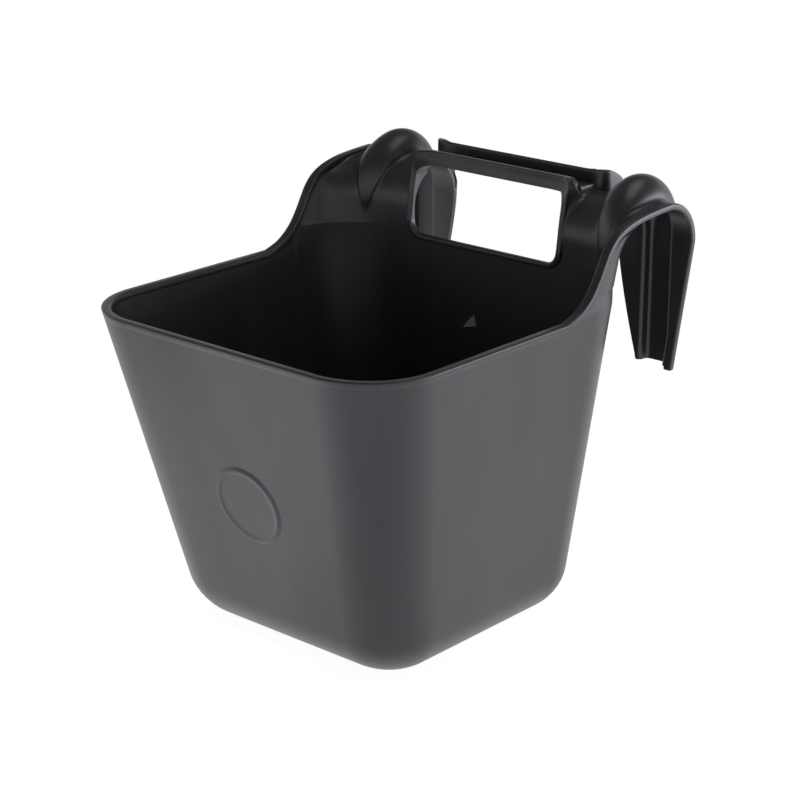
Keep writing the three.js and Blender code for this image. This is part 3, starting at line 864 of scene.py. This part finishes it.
class TROUGH_OT_grip(bpy.types.Operator):
    """Build the frame of the hand hole: sill, jambs and carrying bar, and the fillets that
    join it to the hooks"""

    bl_idname = "trough.grip"
    bl_label = "Grip frame"

    def execute(self, context):
        form, grip = Form(), context.scene.trough_grip
        stations = grip_stations(form, grip)
        around, curl_depth, curl_reach = 36, 0.0016, 0.0075
        mesh, column_of, row_of = grid_mesh(around, len(stations) - 1)
        for vert in mesh.verts:
            inside, outside, front, back, bar = stations[vert[row_of]]
            width, depth = math.dist(inside, outside), back - front
            lower, upper, hidden = mix(0.0018, 0.0012, bar), 0.0013, 0.0006
            rounds = [min(r, s * width, s * depth) for r, s in
                      ((hidden, 0.2), (lower, 0.75), (upper, 0.24), (hidden, 0.2))]
            section = rounded_section(width, depth, rounds, 6, 8)
            inset, deep = section[vert[column_of] % around]
            x, z = (mix(a, b, inset / width) for a, b in zip(inside, outside))
            curl = -curl_depth * max(1 - inset / curl_reach, 0) ** 2
            vert.co = Vector((x, front + deep + bar * curl * (1 - deep / depth), z))
        bmesh.ops.remove_doubles(mesh, verts=mesh.verts[:], dist=WELD)
        mirrored(mesh)
        finished("grip_frame", mesh, ["window_sill", "grip_bar", *both_sides("window_jamb")])

        line = fillet_line(grip)
        hair = 0.0002
        reach = form.arch + form.tub.wall
        across, thickness, least_spread, most_spread, flare = 10, 0.002, 0.0015, 0.005, 0.85
        mesh, column_of, row_of = grid_mesh(across, len(line) - 1)
        for vert, inner in both_faces(mesh):
            x, y, z = line[vert[row_of]]
            proud = math.hypot(z - form.spring, form.arch - y) - reach
            spread = least_spread + min(flare * max(proud, 0), most_spread)
            turn, depth = math.atan2(z - form.spring, form.arch - y), thickness * inner
            spots = ((x - depth, max(proud, hair) - depth), (x - depth, -depth),
                     (x + spread, -depth - hair))
            start, bend, foot = (Vector((
                x, form.arch - (reach + rise) * math.cos(turn),
                form.spring + (reach + rise) * math.sin(turn))) for x, rise in spots)
            share = vert[column_of] / across
            vert.co = (start * (1 - share) ** 2 + bend * 2 * share * (1 - share)
                       + foot * share ** 2)
        mirrored(mesh, weld=False)
        finished("grip_fillets", mesh, ["grip_web"])
        return {"FINISHED"}


class TROUGH_OT_lip(bpy.types.Operator):
    """Build the web behind the bar and the rear lip with its returns"""

    bl_idname = "trough.lip"
    bl_label = "Web and rear lip"

    def execute(self, context):
        form, grip = Form(), context.scene.trough_grip
        seat = form.arch + form.tub.wall - MARGIN
        bend_centre = grip.lip_front + grip.lip_bend
        tip, low_end, fade = (math.radians(turn) for turn in (5, 27, 52))
        seat_start = math.acos((grip.lip_front - form.arch) / seat)
        crest_drop, foot_rise, swell_run, crest_round = 0.0011, 0.0012, 0.0065, 0.0012
        corner_radius = grip.return_radius - crest_drop
        crest_start = math.acos((grip.lip_front - form.arch) / corner_radius)
        runs = evenly(16, 0, grip.lip_half)[:-1]
        returns = evenly(30)
        across = 6

        def place(column, row, back):
            up = column / across
            if row < len(runs):
                x = runs[row]
                y = grip.lip_front + (grip.lip_thickness if back else 0)
                crest = form.spring + corner_radius * math.sin(crest_start)
                swell = smooth((x - grip.lip_half + swell_run) / swell_run)
                top = mix(grip.lip_top, crest, swell)
                return Vector((x, y, mix(grip.top - MARGIN, top, up)))
            share = returns[row - len(runs)]
            crest_turn = mix(crest_start, tip, share)
            turn = mix(mix(seat_start, tip, share), crest_turn, up)
            low = seat + foot_rise * smooth((crest_turn - tip) / 0.2)
            high = mix(corner_radius, grip.return_radius, smooth(share * 8))
            crest = mix(low, high, smooth((crest_turn - low_end) / (fade - low_end)))
            radius = mix(seat, crest, up)
            bend = grip.lip_bend - (grip.lip_thickness if back else 0)
            y = form.arch + radius * math.cos(turn)
            into = max(bend_centre - y, 0)
            out = math.sqrt(max(bend * bend - into * into, 0))
            if back and row == len(runs):
                y = max(y, grip.lip_front + grip.lip_thickness)
            return Vector((grip.lip_half + out, y, form.spring + radius * math.sin(turn)))

        mesh, column_of, row_of = grid_mesh(across, len(runs) + len(returns) - 1)
        for vert, behind in both_faces(mesh):
            vert.co = place(vert[column_of], vert[row_of], behind)
        opened(mesh, row_of, 0)
        crest_edges = [edge for edge in mesh.edges
                       if all(vert[column_of] == across for vert in edge.verts)
                       and edge.verts[0][row_of] != edge.verts[1][row_of]]
        bmesh.ops.bevel(mesh, geom=crest_edges, offset=crest_round, segments=3, profile=0.5,
                        affect="EDGES", material=-1)
        mirrored(mesh)
        finished("rear_lip_edge", mesh, ["rear_lip", *both_sides("lip_return")])

        web = bmesh.new()
        bmesh.ops.create_cube(web, size=1)
        sunk, under = 0.0006, 2 * MARGIN
        low = Vector((-grip.web_half, grip.bar_front + grip.bar_depth - under, grip.top - sunk))
        high = Vector((grip.web_half, grip.lip_front + sunk, grip.top + grip.web))
        for vert in web.verts:
            vert.co = Vector(mix(a, b, c + 0.5) for a, b, c in zip(low, high, vert.co))
        bmesh.ops.bevel(web, geom=web.edges[:], offset=MARGIN, segments=2, profile=0.5,
                        affect="EDGES", material=-1)
        finished("web_plate", web, ["grip_web"])
        return {"FINISHED"}


def turned(profile, outward, spot):
    """A body of revolution with its axis along a direction, at a place"""
    mesh = bmesh.new()
    verts = [mesh.verts.new((radius, 0, height)) for radius, height in profile]
    edges = [mesh.edges.new(pair) for pair in zip(verts, verts[1:])]
    bmesh.ops.spin(mesh, geom=verts + edges, cent=(0, 0, 0), axis=(0, 0, 1), angle=4 * QUARTER,
                   steps=96, use_merge=True, use_duplicate=False)
    bmesh.ops.remove_doubles(mesh, verts=mesh.verts[:], dist=WELD)
    turn = outward.to_track_quat("Z", "Y").to_matrix()
    bmesh.ops.rotate(mesh, verts=mesh.verts[:], cent=(0, 0, 0), matrix=turn)
    bmesh.ops.translate(mesh, verts=mesh.verts[:], vec=spot)
    return mesh


class TROUGH_OT_medallion(bpy.types.Operator):
    """Build the blank round medallion on the front wall"""

    bl_idname = "trough.medallion"
    bl_label = "Blank medallion"

    def execute(self, context):
        form = Form()
        profile = (
            (0, 0.0007), (0.012, 0.00068), (0.02, 0.0006), (0.0232, 0.00055), (0.0246, 0.0007),
            (0.0254, 0.00095), (0.0262, 0.0012), (0.027, 0.0013), (0.0279, 0.0011),
            (0.0286, 0.0007), (0.0292, 0.0003), (0.0299, 0.00006), (0.0306, -0.0004), (0, -0.0004),
        )
        height = 0.119
        outward = Vector((0, -RIM_HEIGHT, -form.tub.front_draft)).normalized()
        spot = Vector((0, form.outline(height, 0)[1], height))
        finished("front_medallion", turned(profile, outward, spot), ["front_boss"])
        return {"FINISHED"}


class TROUGH_OT_marks(bpy.types.Operator):
    """Build the painted patch of light and the round moulding mark inside the back wall"""

    bl_idname = "trough.marks"
    bl_label = "Light patch and moulding mark"

    def execute(self, context):
        form = Form()

        def on_wall(x, z, proud):
            return Vector((x, form.outline(z, form.tub.wall + proud)[2], z))

        proud, depth = 0.0001, 0.0008
        # Outline of a pale patch of light painted on the inside of the back wall, as a thin slab
        # sunk into it
        light_patch_outline = ((-0.0054, 0.1958), (-0.0031, 0.1879), (-0.0092, 0.1861), (-0.0154, 0.1846),
                (-0.0118, 0.1892), (-0.0084, 0.1929))
        mesh = bmesh.new()
        mesh.faces.new([mesh.verts.new(on_wall(x, z, proud)) for x, z in light_patch_outline])
        bmesh.ops.translate(mesh, verts=thickened(mesh), vec=Vector((0, depth, 0)))
        finished("painted_light_patch", mesh, ["back_wall"], light_patch_material())

        ring = ((0, 0.0001), (0.0011, 0.0001), (0.0014, 0.0005), (0.0018, 0.0006),
                (0.0021, 0.0003), (0.0023, -0.0003), (0, -0.0003))
        outward = Vector((0, -RIM_HEIGHT, form.tub.back_draft)).normalized()
        finished("moulding_mark", turned(ring, outward, on_wall(-0.0434, 0.1974, 0)),
                 ["back_wall"])
        return {"FINISHED"}


def white_for_eye(tree, plain, pure):
    """Shows the pure shader to camera, glossy and transmission rays, the plain one to others"""
    rays = add_node(tree, "ShaderNodeLightPath").outputs
    eye = add_node(tree, "ShaderNodeMath", rays["Is Camera Ray"], rays["Is Glossy Ray"],
                   operation="ADD", use_clamp=True)
    seen = add_node(tree, "ShaderNodeMath", eye, rays["Is Transmission Ray"],
                    operation="ADD", use_clamp=True)
    return add_node(tree, "ShaderNodeMixShader", seen, plain, pure)


def direction(azimuth, elevation):
    """Way from the trough towards a side and a height, both in degrees"""
    turn, rise = math.radians(azimuth), math.radians(elevation)
    return Vector((math.sin(turn) * math.cos(rise), -math.cos(turn) * math.cos(rise),
                   math.sin(rise)))


def aimed(name, data, place, way):
    """A lamp or camera at a place, looking along a way"""
    made = bpy.data.objects.new(name, data)
    made.location = place
    made.rotation_euler = way.to_track_quat("-Z", "Y").to_euler()
    bpy.context.scene.collection.objects.link(made)
    return made


def lamp(name, kind, energy, place, way, **values):
    light = bpy.data.lights.new(name, kind)
    light.energy = energy
    for key, value in values.items():
        setattr(light, key, value)
    aimed(name, light, place, way)


class TROUGH_OT_stage(bpy.types.Operator):
    """Set up the pale floor, the soft light and the camera"""

    bl_idname = "trough.stage"
    bl_label = "Stage"

    def execute(self, context):
        scene = context.scene

        def sheet(name, size, material):
            """A flat square that belongs to the stage"""
            mesh = bmesh.new()
            bmesh.ops.create_grid(mesh, x_segments=1, y_segments=1, size=size / 2)
            data = bpy.data.meshes.new(name)
            mesh.to_mesh(data)
            mesh.free()
            data.materials.append(material)
            made = bpy.data.objects.new(name, data)
            scene.collection.objects.link(made)
            return made

        pale = bpy.data.materials.new("Pale floor")
        tree = node_tree(pale)
        paper, shade = (add_node(tree, "ShaderNodeBsdfDiffuse", Color=(grey, grey, grey, 1))
                        for grey in (0.8, 0.25))
        glow = add_node(tree, "ShaderNodeEmission", Color=WHITE, Strength=0.955)
        white = add_node(tree, "ShaderNodeAddShader", glow, shade)
        add_node(tree, "ShaderNodeOutputMaterial", white_for_eye(tree, paper, white))
        sheet("stage_floor", 12, pale)

        scene.world = bpy.data.worlds.new("Studio")
        tree = node_tree(scene.world)
        room, white = (add_node(tree, "ShaderNodeBackground", Color=WHITE, Strength=strength)
                       for strength in (0.2, 1.0))
        add_node(tree, "ShaderNodeOutputWorld", white_for_eye(tree, room, white))

        def glowing(name, strength):
            material = bpy.data.materials.new(name)
            tree = node_tree(material)
            glow = add_node(tree, "ShaderNodeEmission", Color=WHITE, Strength=strength)
            add_node(tree, "ShaderNodeOutputMaterial", glow)
            return material

        overhead = sheet("stage_flag", 5.2, glowing("Dim flag", 0.14))
        overhead.location = (0, 0, 1.25)
        board = sheet("stage_board", 1.2, glowing("Dim board", 0.75))
        board.location = (-0.62, -0.8, -0.18)
        board.rotation_euler = Vector((0.62, 0.8, 0)).to_track_quat("Z", "Y").to_euler()
        overhead.visible_camera = board.visible_camera = False

        def card(name, side, distance, size, power):
            """A soft light on one side of the trough, turned to its middle"""
            way, middle = direction(*side), Vector((0, 0, 0.15))
            lamp(name, "AREA", power, middle + way * distance, -way,
                 shape="RECTANGLE", size=size[0], size_y=size[1])

        def pool(name, place, aim, power):
            """A soft pool of light on the floor beside the trough"""
            lamp(name, "SPOT", power, place, Vector(aim) - Vector(place),
                 spot_size=math.radians(26), spot_blend=1.0, shadow_soft_size=0.05)

        card("right_card", (131, 3), 1.5, (1.2, 0.5), 9)
        card("top_card", (150, 72), 1.1, (0.6, 0.6), 1.8)
        pool("front_pool", (-0.34, -0.6, 1.15), (-0.175, -0.325, 0), 110)
        pool("side_pool", (0.55, 0.3, 1.15), (0.31, 0.14, 0), 31)

        camera = bpy.data.cameras.new("camera")
        camera.lens, camera.sensor_width = 99.45, 36
        back, target, distance = direction(41.47, 19.3), (-0.00094, 0.01156, 0.15334), 1.5802
        scene.camera = aimed("camera", camera, Vector(target) + back * distance, -back)
        scene.view_settings.view_transform = "Standard"
        return {"FINISHED"}


class TROUGH_PT_panel(bpy.types.Panel):
    """Sizes, finish and pieces of the trough"""

    bl_idname = "TROUGH_PT_panel"
    bl_label = "Feed Trough"
    bl_space_type = "VIEW_3D"
    bl_region_type = "UI"
    bl_category = "Feed Trough"

    def draw(self, context):
        layout = self.layout
        for group in GROUPS:
            box = layout.box()
            box.label(text=group.title())
            settings = getattr(context.scene, f"trough_{group}")
            for name in settings.__annotations__:
                box.prop(settings, name)
        for operator in OPERATORS:
            layout.operator(operator.bl_idname)


GROUPS = {
    "tub": TroughTub, "rim": TroughRim, "hook": TroughHook, "grip": TroughGrip,
    "finish": TroughFinish,
}
OPERATORS = (
    TROUGH_OT_stage, TROUGH_OT_shell, TROUGH_OT_rim, TROUGH_OT_grip, TROUGH_OT_lip,
    TROUGH_OT_medallion, TROUGH_OT_marks,
)
CLASSES = (*GROUPS.values(), *OPERATORS, TROUGH_PT_panel)


def register():
    for kind in CLASSES:
        bpy.utils.register_class(kind)
    for name, group in GROUPS.items():
        setattr(bpy.types.Scene, f"trough_{name}", bpy.props.PointerProperty(type=group))


def unregister():
    for name in GROUPS:
        delattr(bpy.types.Scene, f"trough_{name}")
    for kind in reversed(CLASSES):
        bpy.utils.unregister_class(kind)


def main():
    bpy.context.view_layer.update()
    register()
    bpy.ops.trough.stage()
    bpy.ops.trough.shell()
    bpy.ops.trough.rim()
    bpy.ops.trough.grip()
    bpy.ops.trough.lip()
    bpy.ops.trough.medallion()
    bpy.ops.trough.marks()


if __name__ == "__main__":
    main()
